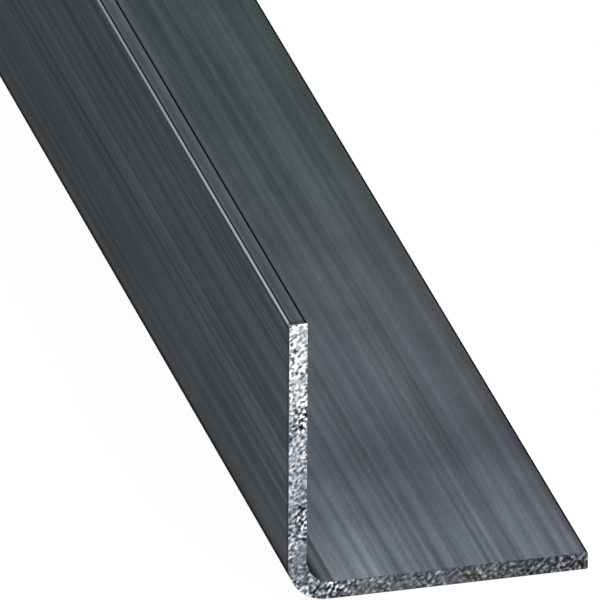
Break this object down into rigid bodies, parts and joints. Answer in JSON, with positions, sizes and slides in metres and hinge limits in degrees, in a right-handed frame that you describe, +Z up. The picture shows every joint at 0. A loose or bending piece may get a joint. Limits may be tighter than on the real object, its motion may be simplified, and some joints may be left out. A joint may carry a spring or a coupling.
{
  "type": "steel angle section",
  "caption": "Equal-leg steel angle section: a long cold-rolled L-section bar with a rounded heel, a filleted inner corner, eased toe edges and square-sawn ends.",
  "frame": {"origin": "the middle of the bar's length and width, on the surface that its flat leg lies on", "axes": "+X along the flat leg, from the heel to the toe; +Y along the bar; +Z up the upright leg, which stands at the -X side"},
  "size_m": [0.025, 1, 0.025],
  "materials": {
    "mill_steel": "bare dark mill finish, lightly oiled, with soft lengthwise rolling streaks; the sawn ends are bright and granular"
  },
  "bodies": {
    "root": {"angle_section": "mill_steel"}
  },
  "joints": []
}
